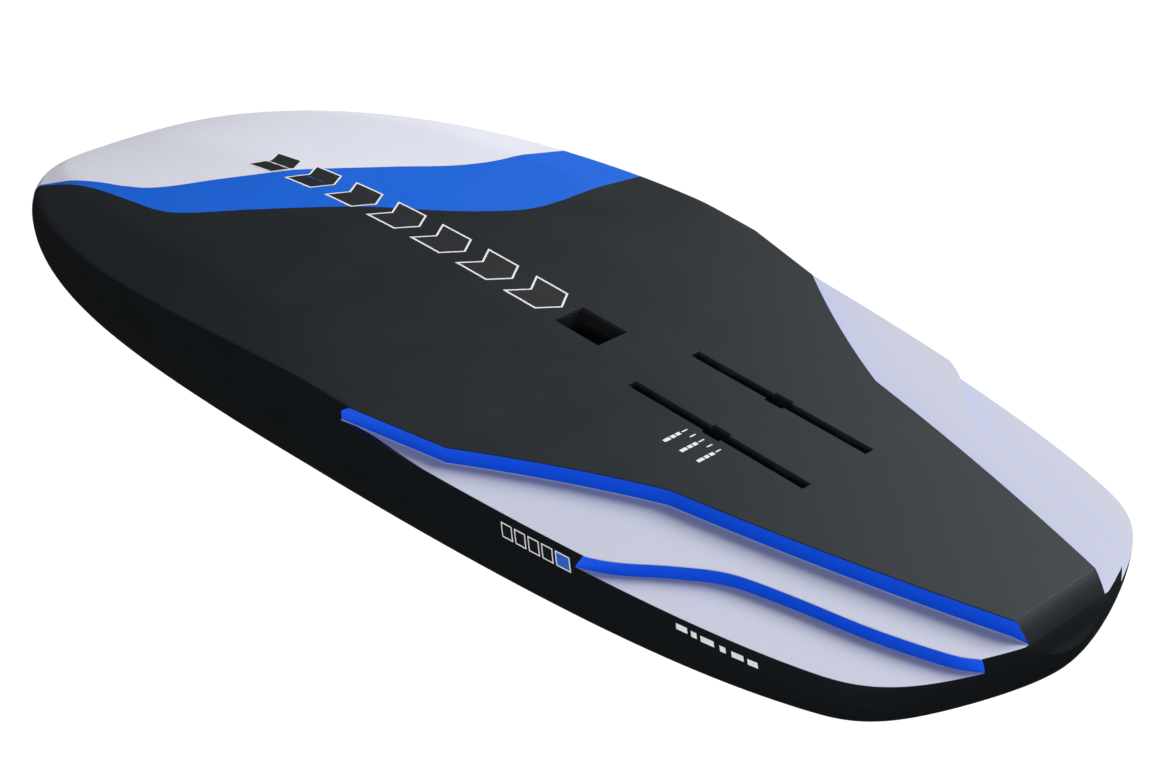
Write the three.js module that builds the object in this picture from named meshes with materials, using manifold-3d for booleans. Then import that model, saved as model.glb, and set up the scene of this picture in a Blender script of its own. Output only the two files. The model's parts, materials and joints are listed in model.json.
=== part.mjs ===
// A wing-foil board, lying deck down, as an assembly of its separate pieces.
// Millimetres. +X runs aft to the tail, +Y to port, +Z out of the bottom.
// The origin is under the middle of the board, at the height of the deck's lowest point.
import * as THREE from 'three';
import { mergeVertices } from 'three/addons/utils/BufferGeometryUtils.js';
import Module from 'manifold-3d';

const wasm = await Module();
wasm.setup();

// ---- driving dimensions ----
const LENGTH = 1676;
const WIDTH = 617;
const FLAT_HEIGHT = 195.11; // flat of the bottom above the lowest point of the deck
const RAIL_BULGE = 8.5; // how far the rail stands out past the bottom's edge
const SKIN = 4; // sandwich laminate
const GAP = 0.3; // between pieces that touch
const SEAM_GAP = 0.4; // between two skins
const WIDEST = 0.42; // the rail's widest line, as a share of the way from the bottom's edge to the deck's
const SEAM = 0.6; // the line where the bottom's skin meets the rail's, likewise

// bottom
const ROCKER_START_X = 75;
const WIDE_X = -95;
const TIP_DROP = 166; // nose tip below the flat of the bottom
const CHINE = 0.755; // the flat panel's share of the half-width
const STEP_1_DEPTH = 19;
const STEP_2_DEPTH = 34;
const KICK_X = 808.5;
const KICK_DEPTH = 43;

const KICK_SLOPE = [[0, 0], [11, 9.5], [18, 20], [29, KICK_DEPTH]]; // aft of the kick line, down from the flat

// deck
const CROWN = 9;
const DECK_HALF_WIDTH = 260;
const RAIL_BAND = 44; // from the bottom's edge in to where the rail's laminate meets the deck's
const PAD = 5;
const PAD_MARGIN = 52; // from the bottom's edge in to the edge of a pad
const PADS = { front: [-300, 96], middle: [100, 430], tail: [434, 768] };
const TAIL_KICK = { front: 640, back: 712, halfWidth: 95, height: 36 };

// foil tracks
const TRACK_X = 425.5;
const TRACK_SPACING = 90;
const SLOT_LENGTH = 245;
const SLOT_WIDTH = 12.2;
const ENTRY_LENGTH = 24.6;
const ENTRY_WIDTH = 19;
const LIP = 3.5;
const CHANNEL_HEIGHT = 8.5;
const GROOVE_WIDTH = 9.6;
const GROOVE_DEPTH = 8;
const TRACK_WALL = 4;
const T_NUT = { length: 20, width: 17.4, height: 7, hole: 3.4 };
const T_NUT_OFFSET = 82.5; // half of the foil plate's bolt spacing along the board

// carry handle
const HANDLE_X = 190.5;
const HANDLE_LENGTH = 71;
const HANDLE_WIDTH = 42;
const HANDLE_DEPTH = 50;
const HANDLE_WALL = 3.5;
const LEDGE = { below: 9, width: 6, thickness: 4 }; // finger ledge, under the recess's rim

// deck fittings
const VENT_X = -395;
const LEASH_X = 742;
const INSERTS = [
  { name: 'front_port_inner', x: -60, y: 62 },
  { name: 'front_port_outer', x: 50, y: 148 },
  { name: 'front_starboard_inner', x: -60, y: -62 },
  { name: 'front_starboard_outer', x: 50, y: -148 },
  { name: 'rear_port', x: 500, y: 76 },
  { name: 'rear_starboard', x: 500, y: -76 },
];
const INSERT = { radius: 10, depth: 22, hole: 3.2, holeDepth: 17 };

const HALF_WIDTH = WIDTH / 2 - RAIL_BULGE;
const NOSE_X = -LENGTH / 2 + RAIL_BULGE;
const TAIL_X = LENGTH / 2 - RAIL_BULGE;
const FAR = 1200; // past every side of the board
const CLEAR = 40; // past the face that a small pocket opens through

// ---- solids ----
function solid(geometry) {
  const plain = new THREE.BufferGeometry();
  plain.setAttribute('position', geometry.getAttribute('position').clone());
  if (geometry.index) plain.setIndex(geometry.index.clone());
  const welded = mergeVertices(plain, 1e-3);
  const corners = welded.index.array;
  const kept = [];
  for (let i = 0; i < corners.length; i += 3) {
    const [a, b, c] = corners.slice(i, i + 3);
    if (a !== b && b !== c && c !== a) kept.push(a, b, c);
  }
  return new wasm.Manifold(new wasm.Mesh({
    numProp: 3,
    vertProperties: Float32Array.from(welded.getAttribute('position').array),
    triVerts: Uint32Array.from(kept),
  }));
}

function geometryOf(body) {
  const { vertProperties, triVerts } = body.getMesh();
  const geometry = new THREE.BufferGeometry();
  geometry.setAttribute('position', new THREE.Float32BufferAttribute(vertProperties, 3));
  geometry.setIndex(Array.from(triVerts));
  geometry.computeVertexNormals();
  return geometry;
}

const cutAll = (body, tools) => tools.reduce((left, tool) => left.subtract(tool), body);

// box between two corners
function box([x0, y0, z0], [x1, y1, z1]) {
  const geometry = new THREE.BoxGeometry(x1 - x0, y1 - y0, z1 - z0);
  geometry.translate((x0 + x1) / 2, (y0 + y1) / 2, (z0 + z1) / 2);
  return solid(geometry);
}

// upright cylinder between two heights
function disc(x, y, radius, z0, z1, sides = 24) {
  const geometry = new THREE.CylinderGeometry(radius, radius, z1 - z0, sides);
  geometry.rotateX(Math.PI / 2);
  geometry.translate(x, y, (z0 + z1) / 2);
  return solid(geometry);
}

// plan outline of Vector2 points, standing between two heights
function prism(points, z0, z1) {
  const geometry = new THREE.ExtrudeGeometry(new THREE.Shape(points), { depth: z1 - z0, bevelEnabled: false });
  geometry.translate(0, 0, z0);
  return solid(geometry);
}

// side profile of Vector2 points (x, z), running across the board between two y
function profile(points, y0, y1) {
  const geometry = new THREE.ExtrudeGeometry(new THREE.Shape(points), { depth: y1 - y0, bevelEnabled: false });
  geometry.rotateX(Math.PI / 2);
  geometry.translate(0, y1, 0);
  return solid(geometry);
}

// skin over closed loops of equally many points
function loft(loops) {
  const around = loops[0].length;
  const geometry = new THREE.BufferGeometry().setFromPoints(loops.flat());
  const index = [];
  for (let i = 0; i + 1 < loops.length; i++) {
    for (let j = 0; j < around; j++) {
      const a = i * around + j;
      const b = i * around + (j + 1) % around;
      index.push(a, b + around, b, a, a + around, b + around);
    }
  }
  geometry.setIndex(index);
  return solid(geometry);
}

// ---- the board's lines ----
const v2 = (x, y) => new THREE.Vector2(x, y);

// edge of the bottom in plan, port side, from the nose tip to the middle of the tail
function bottomEdge() {
  const nose = [];
  const noseSteps = 16;
  for (let i = 0; i < noseSteps; i++) {
    const share = Math.sin((i / noseSteps) * Math.PI / 2);
    const forward = (1 - share ** (1 / 0.58)) ** (1 / 2.4);
    nose.push(v2(WIDE_X + (NOSE_X - WIDE_X) * forward, HALF_WIDTH * share));
  }
  const side = new THREE.CubicBezierCurve(v2(WIDE_X, HALF_WIDTH), v2(95, HALF_WIDTH), v2(525, 272), v2(715, 203));
  const corner = new THREE.CubicBezierCurve(v2(715, 203), v2(755, 188.5), v2(777, 165), v2(804, 99));
  const end = new THREE.CubicBezierCurve(v2(804, 99), v2(814, 74), v2(TAIL_X, 32), v2(TAIL_X, 0));
  return [...nose, ...side.getPoints(12), ...corner.getPoints(6).slice(1), ...end.getPoints(5).slice(1)];
}

// unit normals on the left of a line's direction of travel
function leftNormals(points) {
  return points.map((point, i) => {
    const before = points[Math.max(i - 1, 0)];
    const after = points[Math.min(i + 1, points.length - 1)];
    const along = after.clone().sub(before).normalize();
    return v2(-along.y, along.x);
  });
}

function offsetLine(points, distance) {
  const normals = leftNormals(points);
  return points.map((point, i) => point.clone().addScaledVector(normals[i], distance));
}

const lerp = THREE.MathUtils.lerp;
const towardsTip = (x) => THREE.MathUtils.clamp((ROCKER_START_X - x) / (ROCKER_START_X - NOSE_X), 0, 1);
const keelHeight = (x) => FLAT_HEIGHT - TIP_DROP * towardsTip(x) ** 2.75;
const chineHeight = (x) => FLAT_HEIGHT - (TIP_DROP - 24) * towardsTip(x) ** 2.05 - 24 * towardsTip(x) ** 8;
const creaseHeight = (x) => FLAT_HEIGHT - (TIP_DROP - 32) * towardsTip(x) ** 1.26 - 32 * towardsTip(x) ** 8;

function bottomHeight(x, share) {
  if (share <= CHINE) return lerp(keelHeight(x), chineHeight(x), share / CHINE);
  return lerp(chineHeight(x), creaseHeight(x), (share - CHINE) / (1 - CHINE));
}

// edge of the deck in side view: x, depth below the flat of the bottom
const DECK_LINE = new THREE.SplineCurve([
  v2(-838, 196), v2(-620, 174), v2(-250, 144), v2(125, 129), v2(500, 116), v2(700, 101), v2(838, 83),
]).getPoints(40);

function deckHeight(x) {
  const i = THREE.MathUtils.clamp(DECK_LINE.findIndex((point) => point.x >= x), 1, DECK_LINE.length - 1);
  const [a, b] = [DECK_LINE[i - 1], DECK_LINE[i]];
  return FLAT_HEIGHT - lerp(a.y, b.y, (x - a.x) / (b.x - a.x));
}

const crownAt = (x) => CROWN * (1 - (x / NOSE_X) ** 4);

// how far the rail stands out, from the bottom's edge (share 0) to the deck's edge (share 1)
function railOffset(share, depth) {
  if (share <= WIDEST) return RAIL_BULGE * Math.sin((share / WIDEST) * Math.PI / 2);
  const tuck = 0.35 * depth;
  return RAIL_BULGE - tuck * (1 - Math.sqrt(Math.max(0, 1 - ((share - WIDEST) / (1 - WIDEST)) ** 2.3)));
}

const BOTTOM_SHARES = [0, 0.4, CHINE, 0.88];
const RAIL_SHARES = [0, 0.14, 0.28, WIDEST, SEAM, 0.74, 0.85, 0.94, 1];
const DECK_SHARES = [0.75, 0.45, 0];

// the board's whole body without its steps, pulled in all round by inset
function hull(inset) {
  const edge = bottomEdge();
  const normals = leftNormals(edge);
  normals[0].set(-1, 0);
  normals[normals.length - 1].set(1, 0);
  const loops = edge.map((point, i) => {
    const creaseZ = creaseHeight(point.x) - inset;
    const deckZ = deckHeight(point.x) + inset;
    const onRail = (share) => {
      const out = railOffset(share, creaseZ - deckZ) - inset;
      const at = point.clone().addScaledVector(normals[i], out);
      return new THREE.Vector3(at.x, at.y, lerp(creaseZ, deckZ, share));
    };
    const low = onRail(0);
    const high = onRail(1);
    const crown = i === 0 || i === edge.length - 1 ? 0 : crownAt(point.x);
    const port = [
      ...BOTTOM_SHARES.map((share) => {
        return new THREE.Vector3(low.x, low.y * share, bottomHeight(point.x, share) - inset);
      }),
      ...RAIL_SHARES.map(onRail),
      ...DECK_SHARES.map((share) => {
        return new THREE.Vector3(high.x, high.y * share, high.z - crown * (1 - share * share));
      }),
    ];
    const mirrored = port.slice(1, -1).reverse().map((at) => new THREE.Vector3(at.x, -at.y, at.z));
    return [...port, ...mirrored];
  });
  return loft(loops);
}

// closed outline from its port half, which runs aft
function bothSides(port) {
  return [...port.map((point) => v2(point.x, -point.y)), ...port.slice().reverse()];
}

// edge of the flat of the bottom, port side: where the first step down starts
function stepOneLine() {
  const front = v2(139, 293.5);
  const knee = v2(270, 263);
  const waist = v2(465.5, 148);
  const kick = v2(KICK_X, 58);
  const hollow = new THREE.QuadraticBezierCurve(knee, v2(368.5, 195), waist);
  const run = new THREE.QuadraticBezierCurve(waist, v2(637, 112), kick);
  return [v2(60, 312), front, ...hollow.getPoints(6), ...run.getPoints(5).slice(1), v2(TAIL_X + 60, 46)];
}

// edge of the first ramp, port side: where the second step down starts
function stepTwoLine() {
  const wave = new THREE.SplineCurve([
    v2(430, 282), v2(467, 264.5), v2(498, 246), v2(538.5, 209), v2(579.5, 179), v2(640, 160), v2(718, 141),
    v2(786, 117), v2(812, 100), v2(870, 60),
  ]);
  return wave.getPoints(27);
}

// everything outside a step's line and above its ramp, both sides
function stepCut(line, depth, inset) {
  const wall = offsetLine(line, -inset);
  const rest = [v2(FAR, wall[wall.length - 1].y), v2(FAR, FAR), v2(wall[0].x, FAR)];
  const port = prism([...wall, ...rest], FLAT_HEIGHT - depth - inset, FLAT_HEIGHT + FAR);
  return port.add(port.mirror([0, 1, 0]));
}

// the bevel behind the kick line
function kickCut(inset) {
  const x = KICK_X - inset;
  const top = FLAT_HEIGHT - inset;
  const slope = KICK_SLOPE.map(([aft, down]) => v2(x + aft, top - down));
  return profile([...slope, v2(x + FAR, top - KICK_DEPTH), v2(x + FAR, top + FAR), v2(x, top + FAR)], -FAR, FAR);
}

function board(inset) {
  return cutAll(hull(inset), [
    stepCut(stepOneLine(), STEP_1_DEPTH, inset),
    stepCut(stepTwoLine(), STEP_2_DEPTH, inset),
    kickCut(inset),
  ]);
}

// everything on the deck's side of the seam that runs round the rail
function deckSide(shift) {
  const steps = 24;
  const seam = [];
  for (let i = 0; i <= steps; i++) {
    const x = lerp(NOSE_X - 20, TAIL_X + 20, i / steps);
    seam.push(v2(x, lerp(creaseHeight(x), deckHeight(x), SEAM) + shift));
  }
  return profile([v2(seam[0].x, -FAR), v2(seam[steps].x, -FAR), ...seam.reverse()], -FAR, FAR);
}

// the deck's laminate stands inside the band that wraps the rail
function deckPanel(shift) {
  const port = offsetLine(bottomEdge(), shift - RAIL_BAND).filter((point) => point.y > CLEAR / 4);
  return prism(bothSides(port), -FAR, FLAT_HEIGHT);
}

// ---- places on the deck ----
const deckAt = (x, y) => {
  const share = Math.abs(y) / DECK_HALF_WIDTH;
  return deckHeight(x) - crownAt(x) * (1 - share * share);
};

// ---- pieces ----
const looks = {
  skin: { color: 0x1c2022, roughness: 0.62, metalness: 0 },
  deckSkin: { color: 0xe4e6ee, roughness: 0.45, metalness: 0 },
  foam: { color: 0xf1f1ec, roughness: 0.95, metalness: 0 },
  block: { color: 0xb9a77c, roughness: 0.9, metalness: 0 },
  plastic: { color: 0x101214, roughness: 0.55, metalness: 0 },
  steel: { color: 0x9a9da2, roughness: 0.35, metalness: 1 },
  brass: { color: 0xb08d4a, roughness: 0.4, metalness: 1 },
  rubber: { color: 0x141414, roughness: 0.8, metalness: 0 },
  membrane: { color: 0xf5f5f5, roughness: 0.9, metalness: 0 },
  pad: { color: 0x3a3f45, roughness: 0.95, metalness: 0 },
};

const group = new THREE.Group();

function piece(name, body, look) {
  const mesh = new THREE.Mesh(geometryOf(body), new THREE.MeshStandardMaterial(looks[look]));
  mesh.name = name;
  group.add(mesh);
}

const trackYs = { port: TRACK_SPACING / 2, starboard: -TRACK_SPACING / 2 };
const trackTop = FLAT_HEIGHT - SKIN - GAP;
const channelTop = trackTop - LIP;
const channelFloor = channelTop - CHANNEL_HEIGHT;
const trackBottom = channelFloor - GROOVE_DEPTH - TRACK_WALL;
const trackLength = SLOT_LENGTH + 2 * TRACK_WALL;
const trackWidth = ENTRY_WIDTH + 2 * TRACK_WALL;

// a box along a track, centred on it
function alongTrack(y, length, width, z0, z1) {
  return box([TRACK_X - length / 2, y - width / 2, z0], [TRACK_X + length / 2, y + width / 2, z1]);
}

// the slot and its wider entry, as seen from below the board
function slotCut(y, z0, z1) {
  return alongTrack(y, SLOT_LENGTH, SLOT_WIDTH, z0, z1).add(alongTrack(y, ENTRY_LENGTH, ENTRY_WIDTH, z0, z1));
}

function track(y) {
  return cutAll(alongTrack(y, trackLength, trackWidth, trackBottom, trackTop), [
    slotCut(y, channelTop - 1, trackTop + 1),
    alongTrack(y, SLOT_LENGTH, ENTRY_WIDTH, channelFloor, channelTop),
    alongTrack(y, SLOT_LENGTH, GROOVE_WIDTH, channelFloor - GROOVE_DEPTH, channelFloor + 1),
  ]);
}

const trackPocket = (y) => alongTrack(y, trackLength + 2 * GAP, trackWidth + 2 * GAP, trackBottom - GAP, trackTop + 1);

const BLOCK = { length: 330, width: 158, depth: 62 };
function mastBlockBox(grow) {
  const top = FLAT_HEIGHT - SKIN - GAP + grow;
  return alongTrack(0, BLOCK.length + 2 * grow, BLOCK.width + 2 * grow, top - BLOCK.depth - 2 * grow, top);
}

function handleBox(grow, top, bottom) {
  const halfLength = HANDLE_LENGTH / 2 + grow;
  const halfWidth = HANDLE_WIDTH / 2 + grow;
  return box([HANDLE_X - halfLength, -halfWidth, bottom], [HANDLE_X + halfLength, halfWidth, top]);
}

const handleTop = FLAT_HEIGHT - SKIN - GAP;
const handleFloor = FLAT_HEIGHT - HANDLE_DEPTH;

// recess with a finger ledge along its port side
function handleCup() {
  const ledgeTop = handleTop - LEDGE.below;
  const reach = HANDLE_LENGTH / 2 + 1;
  const inner = HANDLE_WIDTH / 2;
  const ledge = box(
    [HANDLE_X - reach, inner - LEDGE.width, ledgeTop - LEDGE.thickness], [HANDLE_X + reach, inner + 1, ledgeTop],
  );
  return handleBox(HANDLE_WALL, handleTop, handleFloor - HANDLE_WALL)
    .subtract(handleBox(0, handleTop + 1, handleFloor))
    .add(ledge);
}

const handlePocket = () => handleBox(HANDLE_WALL + GAP, FLAT_HEIGHT, handleFloor - HANDLE_WALL - GAP);

// pressure vent: a housing flush with the deck, its screw, the screw's O-ring and a breathing membrane
const VENT = { radius: 13, depth: 18, seat: 7.6, seatDepth: 6, bore: 4.2, membrane: 6 };
const ventFace = deckAt(VENT_X, 0);
const ventSeat = ventFace + VENT.seatDepth;
const ventBack = ventFace + VENT.depth;
const MEMBRANE_THICK = 0.8;
const RING_SECTION = 1.1;

function ventHousing() {
  return cutAll(disc(VENT_X, 0, VENT.radius, ventFace - CLEAR, ventBack, 32).intersect(board(0)), [
    disc(VENT_X, 0, VENT.seat, ventFace - CLEAR, ventSeat),
    disc(VENT_X, 0, VENT.bore, ventFace - CLEAR, ventBack + 1),
    disc(VENT_X, 0, VENT.membrane + GAP, ventBack - MEMBRANE_THICK - GAP, ventBack + 1),
  ]);
}

function ventRing() {
  const ring = new THREE.TorusGeometry(VENT.bore + RING_SECTION + 0.2, RING_SECTION, 8, 28);
  ring.translate(VENT_X, 0, ventSeat - GAP - RING_SECTION);
  return solid(ring);
}

function ventScrew() {
  const headTop = ventSeat - 2 * GAP - 2 * RING_SECTION;
  const headBottom = headTop - 2.4;
  const head = disc(VENT_X, 0, VENT.seat - 0.5, headBottom, headTop);
  const shank = disc(VENT_X, 0, VENT.bore - 0.5, headTop - 1, ventBack - 4);
  const slot = box([VENT_X - 10, -0.9, headBottom - 1], [VENT_X + 10, 0.9, headBottom + 1.3]);
  return head.add(shank).subtract(slot);
}

const ventPocket = (grow) => disc(VENT_X, 0, VENT.radius + grow, ventFace - CLEAR, ventBack + grow, 32);

// leash plug: a cup flush with the deck and the bar that the leash ties to
const LEASH = { radius: 19, depth: 24, cavity: 14, cavityDepth: 19, bar: 2.5, barDepth: 7 };
const leashFace = deckAt(LEASH_X, 0);
const leashBack = leashFace + LEASH.depth;

function leashBar(radius, length) {
  const bar = new THREE.CylinderGeometry(radius, radius, length, 16);
  bar.translate(LEASH_X, 0, leashFace + LEASH.barDepth);
  return solid(bar);
}

function leashCup() {
  return disc(LEASH_X, 0, LEASH.radius, leashFace - CLEAR, leashBack, 32).intersect(board(0))
    .subtract(disc(LEASH_X, 0, LEASH.cavity, leashFace - CLEAR, leashFace + LEASH.cavityDepth))
    .subtract(leashBar(LEASH.bar + GAP, 2 * (LEASH.radius - 1.5)));
}

const leashPocket = (grow) => disc(LEASH_X, 0, LEASH.radius + grow, leashFace - CLEAR, leashBack + grow, 32);

// threaded insert for a footstrap screw
function insertBlank({ x, y }, grow) {
  const face = deckAt(x, y);
  return disc(x, y, INSERT.radius + grow, face - CLEAR, face + INSERT.depth + grow);
}

function strapInsert(place) {
  const face = deckAt(place.x, place.y);
  return insertBlank(place, 0)
    .intersect(board(0))
    .subtract(disc(place.x, place.y, INSERT.hole, face - CLEAR, face + INSERT.holeDepth, 16));
}

const deckPockets = (grow) => [ventPocket(grow), leashPocket(grow), ...INSERTS.map((at) => insertBlank(at, grow))];

// soft deck pads, cut to a plan outline and laid on the deck
const padShell = hull(-GAP - PAD).subtract(hull(-GAP));

function padOutline(x0, x1) {
  const edge = offsetLine(bottomEdge(), -PAD_MARGIN).filter((point) => point.x > x0 && point.x < x1);
  return bothSides([v2(x0, edge[0].y), ...edge, v2(x1, edge[edge.length - 1].y)]);
}

function pad([x0, x1]) {
  const middle = FLAT_HEIGHT / 2;
  return cutAll(prism(padOutline(x0, x1), -FAR, middle).intersect(padShell), deckPockets(3));
}

// wedge under the back foot, on top of the tail pad
function tailKick() {
  const { front, back, halfWidth, height } = TAIL_KICK;
  const start = deckHeight(front);
  const wedge = [v2(front, start - PAD), v2(back, start - height), v2(back, FLAT_HEIGHT), v2(front, FLAT_HEIGHT)];
  return profile(wedge, -halfWidth, halfWidth).subtract(hull(-PAD - 2 * GAP));
}

const inside = board(SKIN);
const shell = board(0).subtract(inside);

piece('bottom_skin', cutAll(shell.subtract(deckSide(SEAM_GAP / 2)), [
  ...Object.values(trackYs).map((y) => slotCut(y, trackTop - 1, FLAT_HEIGHT + 5)),
  handleBox(0, FLAT_HEIGHT + 5, handleTop - 1),
]), 'skin');

const upperShell = shell.intersect(deckSide(-SEAM_GAP / 2));
piece('rail_skin', upperShell.subtract(deckPanel(SEAM_GAP / 2)), 'deckSkin');
piece('deck_skin', cutAll(upperShell.intersect(deckPanel(-SEAM_GAP / 2)), deckPockets(GAP)), 'deckSkin');

piece('foam_core', cutAll(board(SKIN + GAP), [mastBlockBox(GAP), handlePocket(), ...deckPockets(GAP)]), 'foam');

piece('mast_block', cutAll(mastBlockBox(0), Object.values(trackYs).map(trackPocket)), 'block');

for (const [side, y] of Object.entries(trackYs)) {
  piece(`track_${side}`, track(y), 'plastic');
  for (const [end, direction] of [['front', -1], ['rear', 1]]) {
    const x = TRACK_X + direction * T_NUT_OFFSET;
    const low = channelFloor + GAP;
    const body = box(
      [x - T_NUT.length / 2, y - T_NUT.width / 2, low], [x + T_NUT.length / 2, y + T_NUT.width / 2, low + T_NUT.height],
    );
    piece(`t_nut_${side}_${end}`, body.subtract(disc(x, y, T_NUT.hole, low - 1, low + T_NUT.height + 1, 20)), 'steel');
  }
}

piece('handle_cup', handleCup(), 'plastic');
piece('vent_housing', ventHousing(), 'plastic');
piece('vent_o_ring', ventRing(), 'rubber');
piece('vent_screw', ventScrew(), 'plastic');
piece('vent_membrane', disc(VENT_X, 0, VENT.membrane, ventBack - MEMBRANE_THICK, ventBack), 'membrane');
piece('leash_cup', leashCup(), 'plastic');
piece('leash_bar', leashBar(LEASH.bar, 2 * (LEASH.radius - 2)), 'steel');
for (const place of INSERTS) piece(`strap_insert_${place.name}`, strapInsert(place), 'brass');

for (const [place, reach] of Object.entries(PADS)) piece(`deck_pad_${place}`, pad(reach), 'pad');
piece('tail_kick', tailKick(), 'pad');

export default group;
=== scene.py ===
"""The looks of a wing-foil board that lies deck down: painted shells, deck pads, fittings, light and camera.

The board's lines are in millimetres, as it is built: +X aft, +Y to port, +Z out of the bottom.
"""
import json
import math

import bmesh
import bpy
import numpy as np
from mathutils import Matrix, Vector
from mathutils.bvhtree import BVHTree


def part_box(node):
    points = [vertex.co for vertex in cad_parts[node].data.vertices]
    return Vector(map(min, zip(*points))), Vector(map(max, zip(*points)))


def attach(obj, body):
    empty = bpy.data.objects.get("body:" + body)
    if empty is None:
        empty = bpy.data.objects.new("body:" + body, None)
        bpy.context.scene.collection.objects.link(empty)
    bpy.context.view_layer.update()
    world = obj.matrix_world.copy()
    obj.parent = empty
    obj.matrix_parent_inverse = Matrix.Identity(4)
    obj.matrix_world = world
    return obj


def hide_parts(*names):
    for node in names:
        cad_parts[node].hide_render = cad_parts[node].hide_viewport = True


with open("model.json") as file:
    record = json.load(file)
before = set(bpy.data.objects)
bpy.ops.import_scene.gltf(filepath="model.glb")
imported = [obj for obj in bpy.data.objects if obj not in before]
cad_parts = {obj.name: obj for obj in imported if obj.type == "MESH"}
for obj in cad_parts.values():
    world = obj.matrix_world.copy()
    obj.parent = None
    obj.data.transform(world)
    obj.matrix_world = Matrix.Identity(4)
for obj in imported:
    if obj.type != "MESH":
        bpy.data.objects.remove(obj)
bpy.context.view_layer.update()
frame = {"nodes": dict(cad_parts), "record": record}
scene = bpy.context.scene
MM = 0.001


def corners(*nodes):
    """Lowest and highest corner of some CAD nodes together, in millimetres."""
    boxes = [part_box(node) for node in nodes]
    low = [min(b[0][k] for b in boxes) / MM for k in range(3)]
    high = [max(b[1][k] for b in boxes) / MM for k in range(3)]
    return low, high


# ---- the board's own sizes, from the frame ----
_skins = corners("bottom_skin", "rail_skin")
LENGTH = _skins[1][0] - _skins[0][0]
WIDTH = _skins[1][1] - _skins[0][1]
FLAT = _skins[1][2]
GLUE_GAP = 0.3
SKIN = FLAT - corners("foam_core")[1][2] - GLUE_GAP
RAIL_BULGE = 8.5
HALF_WIDTH = WIDTH / 2 - RAIL_BULGE
NOSE_X = -LENGTH / 2 + RAIL_BULGE
TAIL_X = LENGTH / 2 - RAIL_BULGE
WIDE_X = -95
ROCKER_START_X = 75
TIP_DROP = 166
CHINE_TIP = 24
CREASE_TIP = 32
CHINE = 0.755
STEP_1_DEPTH = 19
STEP_2_DEPTH = 34
KICK_X = 808.5
KICK_DEPTH = 43
KICK_RUN = 29
KICK_BEND = (14, 12)
CROWN = 9
WIDEST = 0.42
TUCK = 0.35
SEAM = 0.6
FAR = 1200

_track = corners("track_port", "track_starboard")
TRACK_X = (_track[0][0] + _track[1][0]) / 2
TRACK_YS = [sum(c[1] for c in corners(node)) / 2 for node in ("track_port", "track_starboard")]
SLOT_LENGTH = 245
SLOT_WIDTH = 12.2
ENTRY_LENGTH = 24.6
ENTRY_WIDTH = 19
_handle = corners("handle_cup")
HANDLE_X = (_handle[0][0] + _handle[1][0]) / 2
HANDLE_LENGTH = 71
HANDLE_WIDTH = 42


# ---- curves ----
def cubic(a, b, c, d, steps):
    t = np.linspace(0, 1, steps + 1)[:, None]
    a, b, c, d = map(np.array, (a, b, c, d))
    return (1 - t) ** 3 * a + 3 * (1 - t) ** 2 * t * b + 3 * (1 - t) * t * t * c + t ** 3 * d


def quadratic(a, b, c, steps):
    t = np.linspace(0, 1, steps + 1)[:, None]
    a, b, c = map(np.array, (a, b, c))
    return (1 - t) ** 2 * a + 2 * (1 - t) * t * b + t * t * c


def through(points, steps):
    """Catmull-Rom curve through points, with that many steps between neighbours."""
    p = np.array([points[0], *points, points[-1]], float)
    out = []
    for i in range(1, len(p) - 2):
        for t in np.arange(steps) / steps:
            out.append(0.5 * (2 * p[i] + (p[i + 1] - p[i - 1]) * t
                              + (2 * p[i - 1] - 5 * p[i] + 4 * p[i + 1] - p[i + 2]) * t ** 2
                              + (3 * p[i] - p[i - 1] - 3 * p[i + 1] + p[i + 2]) * t ** 3))
    return np.array([*out, p[-2]])


def left_normals(points):
    along = np.gradient(points, axis=0)
    across = np.stack([-along[:, 1], along[:, 0]], axis=1)
    return across / np.linalg.norm(across, axis=1)[:, None]


def offset_line(points, distance):
    return points + left_normals(points) * distance


# ---- the board's lines, as in the CAD model ----
def bottom_edge():
    share = np.sin(np.linspace(0, math.pi / 2, 56)[:-1])
    forward = (1 - share ** (1 / 0.58)) ** (1 / 2.4)
    nose = np.stack([WIDE_X + (NOSE_X - WIDE_X) * forward, HALF_WIDTH * share], axis=1)
    side = cubic((WIDE_X, HALF_WIDTH), (95, HALF_WIDTH), (525, 272), (715, 203), 44)
    corner = cubic((715, 203), (755, 188.5), (777, 165), (804, 99), 20)
    end = cubic((804, 99), (814, 74), (TAIL_X, 32), (TAIL_X, 0), 14)
    return np.vstack([nose, side, corner[1:], end[1:]])


def towards_tip(x):
    return min(max((ROCKER_START_X - x) / (ROCKER_START_X - NOSE_X), 0), 1)


def keel_height(x):
    return FLAT - TIP_DROP * towards_tip(x) ** 2.75


def chine_height(x):
    return FLAT - (TIP_DROP - CHINE_TIP) * towards_tip(x) ** 2.05 - CHINE_TIP * towards_tip(x) ** 8


def crease_height(x):
    return FLAT - (TIP_DROP - CREASE_TIP) * towards_tip(x) ** 1.26 - CREASE_TIP * towards_tip(x) ** 8


def mix(a, b, share):
    return a + (b - a) * share


def bottom_height(x, share):
    if share <= CHINE:
        return mix(keel_height(x), chine_height(x), share / CHINE)
    return mix(chine_height(x), crease_height(x), (share - CHINE) / (1 - CHINE))


# how far the deck's edge lies below the flat: x and the drop, from the nose to the tail
DECK_LINE = through([
    (-838, 196), (-620, 174), (-250, 144), (125, 129), (500, 116), (700, 101), (838, 83),
], 12)


def deck_height(x):
    return FLAT - float(np.interp(x, DECK_LINE[:, 0], DECK_LINE[:, 1]))


def crown_at(x):
    return CROWN * (1 - (x / NOSE_X) ** 4)


def rail_offset(share, depth):
    if share <= WIDEST:
        return RAIL_BULGE * math.sin(share / WIDEST * math.pi / 2)
    return RAIL_BULGE - TUCK * depth * (1 - math.sqrt(max(0, 1 - ((share - WIDEST) / (1 - WIDEST)) ** 2.3)))


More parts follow.
